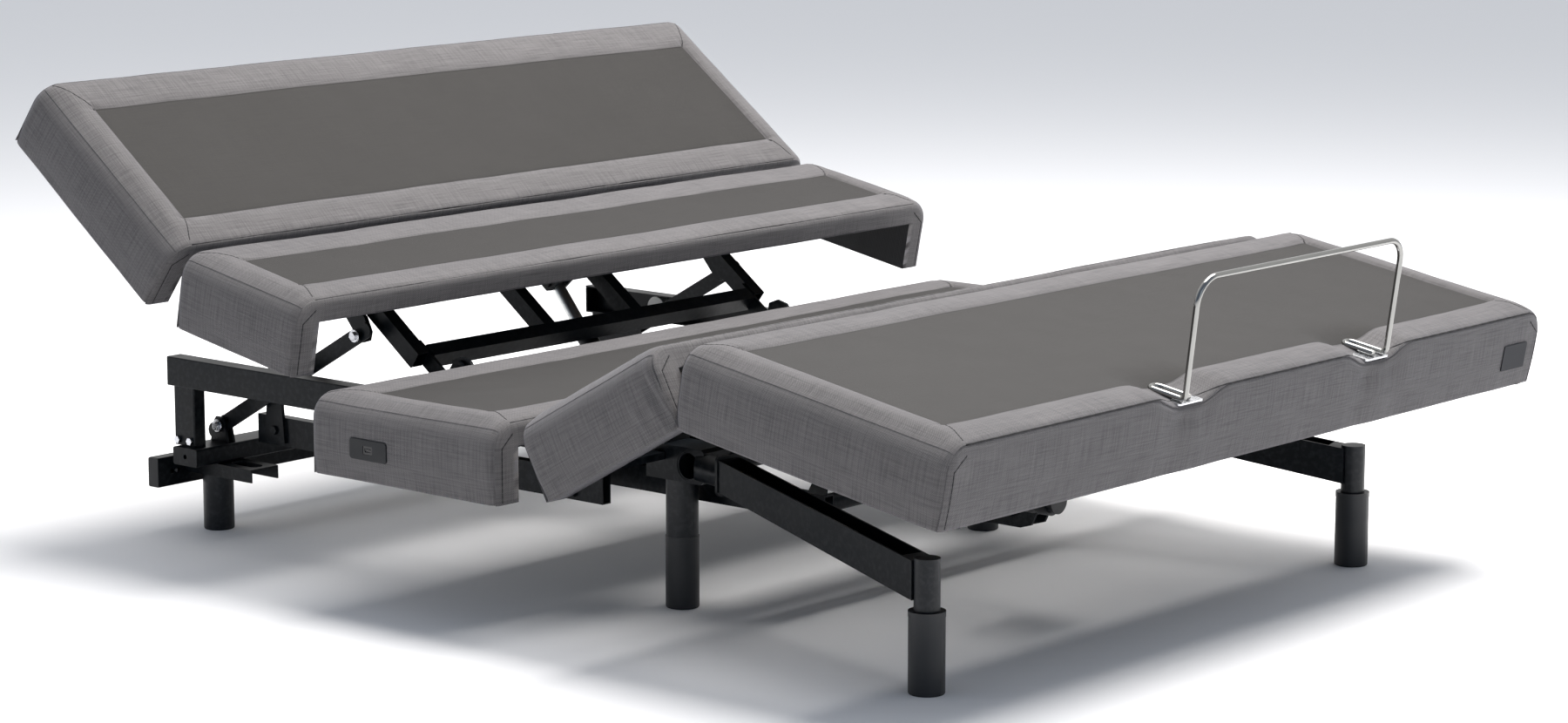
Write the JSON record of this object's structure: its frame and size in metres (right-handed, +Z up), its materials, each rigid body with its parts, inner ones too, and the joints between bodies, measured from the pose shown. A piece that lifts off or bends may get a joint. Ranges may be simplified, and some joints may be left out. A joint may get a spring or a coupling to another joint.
{
  "type": "adjustable bed base",
  "caption": "Powered adjustable bed base: split upholstered deck with raised back, lumbar, thigh and calf sections on a sliding steel frame with round legs.",
  "frame": {"origin": "on the floor under the middle of the base's overall length and width, in the raised pose of the picture", "axes": "+X towards the foot end, +Y towards the far long side (the side without the charging plate), +Z up"},
  "size_m": [1.9592, 1.526, 0.7696],
  "materials": {
    "frame_steel": "satin powder coat",
    "upholstery": "ribbed grey weave",
    "deck_board": "raw plywood",
    "nylon": "matte",
    "black_plastic": "matte",
    "port": "matte",
    "zinc_bolts": "zinc plated",
    "rod_steel": "satin",
    "chrome_wire": "polished",
    "label_fabric": "woven"
  },
  "bodies": {
    "base": {"side_rail_near": "frame_steel", "side_rail_far": "frame_steel", "head_posts": "frame_steel", "leg_channels": "frame_steel", "stay_brackets": "frame_steel", "mid_brackets": "frame_steel", "outrigger_near": "frame_steel", "outrigger_far": "frame_steel", "headboard_tube": "frame_steel", "tube_plugs": "black_plastic", "stay_cross_tube": "frame_steel", "mid_cross_tube": "frame_steel", "head_legs": "frame_steel", "leg_tubes": "frame_steel", "leg_sleeves": "frame_steel", "leg_glides": "black_plastic", "base_bolts": "zinc_bolts"},
    "carriage": {"carriage_rails": "frame_steel", "seat_rails": "frame_steel", "hinge_plates": "frame_steel", "leg_beams": "frame_steel", "carriage_cross_tubes": "frame_steel", "foot_cross_tube": "frame_steel", "seat_deck": "deck_board", "seat_cushion": "upholstery", "usb_plate": "black_plastic", "usb_port": "port", "control_box": "black_plastic"},
    "rollers_head": {"rollers_head": "nylon"},
    "rollers_foot": {"rollers_foot": "nylon"},
    "back": {"back_arm_near": "frame_steel", "back_arm_far": "frame_steel", "back_ribs": "frame_steel", "back_cross_tubes": "frame_steel", "back_cross_mid": "frame_steel", "back_cross_lumbar": "frame_steel", "back_deck": "deck_board", "back_cushion": "upholstery"},
    "lumbar": {"lumbar_frame": "frame_steel", "lumbar_deck": "deck_board", "lumbar_cushion": "upholstery"},
    "thigh": {"thigh_frame": "frame_steel", "thigh_deck": "deck_board", "thigh_cushion": "upholstery"},
    "calf": {"calf_frame": "frame_steel", "calf_deck": "deck_board", "calf_cushion": "upholstery", "foot_label": "label_fabric", "retention_bar": "chrome_wire", "retention_plates": "zinc_bolts"},
    "stay_links": {"stay_link_near": "frame_steel", "stay_link_far": "frame_steel"},
    "calf_links": {"calf_links": "frame_steel"},
    "back_actuator": {"back_actuator_body": "black_plastic"},
    "back_rod": {"back_actuator_rod": "rod_steel"},
    "lumbar_actuator": {"lumbar_actuator_body": "black_plastic"},
    "lumbar_rod": {"lumbar_actuator_rod": "rod_steel"},
    "thigh_actuator": {"thigh_actuator_body": "black_plastic"},
    "thigh_rod": {"thigh_actuator_rod": "rod_steel"}
  },
  "joints": [
    {"name": "back_lift", "type": "hinge", "parent": "carriage", "child": "back", "pos_m": [-0.3336, 0, 0.3186], "axis": [0, 1, 0], "range_deg": [-37.06, 18]},
    {"name": "carriage_slide", "type": "slide", "parent": "base", "child": "carriage", "axis": [1, 0, 0], "range_m": [-0.0281, 0.0568]},
    {"name": "roller_head_spin", "type": "hinge", "parent": "carriage", "child": "rollers_head", "pos_m": [-0.7204, 0, 0.269], "axis": [0, 1, 0], "range_deg": [-75.7, 154.8]},
    {"name": "roller_foot_spin", "type": "hinge", "parent": "carriage", "child": "rollers_foot", "pos_m": [-0.0654, 0, 0.269], "axis": [0, 1, 0], "range_deg": [-75.7, 154.8]},
    {"name": "stay_link_swing", "type": "hinge", "parent": "back", "child": "stay_links", "pos_m": [-0.5054, 0, 0.361], "axis": [0, 1, 0], "range_deg": [-27.39, 55.87]},
    {"name": "back_actuator_swing", "type": "hinge", "parent": "carriage", "child": "back_actuator", "pos_m": [-0.3454, 0.04, 0.16], "axis": [0, 1, 0], "range_deg": [-24.25, 12.03]},
    {"name": "back_actuator_stroke", "type": "slide", "parent": "back_actuator", "child": "back_rod", "axis": [-0.6385, 0, 0.7696], "range_m": [-0.0789, 0.0389]},
    {"name": "lumbar_lift", "type": "hinge", "parent": "back", "child": "lumbar", "pos_m": [-0.5925, 0, 0.4984], "axis": [0, -1, 0], "range_deg": [-26.3, 3]},
    {"name": "lumbar_actuator_swing", "type": "hinge", "parent": "back", "child": "lumbar_actuator", "pos_m": [-0.8751, 0, 0.6335], "axis": [0, 1, 0], "range_deg": [-0.83, 0.54]},
    {"name": "lumbar_actuator_stroke", "type": "slide", "parent": "lumbar_actuator", "child": "lumbar_rod", "axis": [0.7325, 0, -0.6808], "range_m": [-0.0441, 0.0059]},
    {"name": "thigh_lift", "type": "hinge", "parent": "carriage", "child": "thigh", "pos_m": [0.1512, 0, 0.3086], "axis": [0, -1, 0], "range_deg": [-29, 3]},
    {"name": "calf_fold", "type": "hinge", "parent": "thigh", "child": "calf", "pos_m": [0.4507, 0, 0.4403], "axis": [0, 1, 0], "range_deg": [-39.16, 4.32]},
    {"name": "calf_link_swing", "type": "hinge", "parent": "carriage", "child": "calf_links", "pos_m": [0.3706, 0, 0.23], "axis": [0, 1, 0], "range_deg": [-3.77, 32.08]},
    {"name": "thigh_actuator_swing", "type": "hinge", "parent": "carriage", "child": "thigh_actuator", "pos_m": [0.5696, -0.065, 0.168], "axis": [0, 1, 0], "range_deg": [-18.98, 2.41]},
    {"name": "thigh_actuator_stroke", "type": "slide", "parent": "thigh_actuator", "child": "thigh_rod", "axis": [-0.7459, 0, 0.6661], "range_m": [-0.0632, 0.0074]}
  ],
  "couplings": [
    {"joint": "carriage_slide", "follows": "back_lift", "m_per_rad": -0.08632},
    {"joint": "roller_head_spin", "follows": "back_lift", "ratio": -4.15},
    {"joint": "roller_foot_spin", "follows": "back_lift", "ratio": -4.15},
    {"joint": "stay_link_swing", "follows": "back_lift", "ratio": -1.494},
    {"joint": "back_actuator_swing", "follows": "back_lift", "ratio": 0.6408},
    {"joint": "back_actuator_stroke", "follows": "back_lift", "m_per_rad": 0.12049},
    {"joint": "lumbar_actuator_swing", "follows": "lumbar_lift", "ratio": 0.01247},
    {"joint": "lumbar_actuator_stroke", "follows": "lumbar_lift", "m_per_rad": 0.09395},
    {"joint": "calf_fold", "follows": "thigh_lift", "ratio": 1.34},
    {"joint": "calf_link_swing", "follows": "thigh_lift", "ratio": -1.0888},
    {"joint": "thigh_actuator_swing", "follows": "thigh_lift", "ratio": 0.6373},
    {"joint": "thigh_actuator_stroke", "follows": "thigh_lift", "m_per_rad": 0.12291}
  ]
}
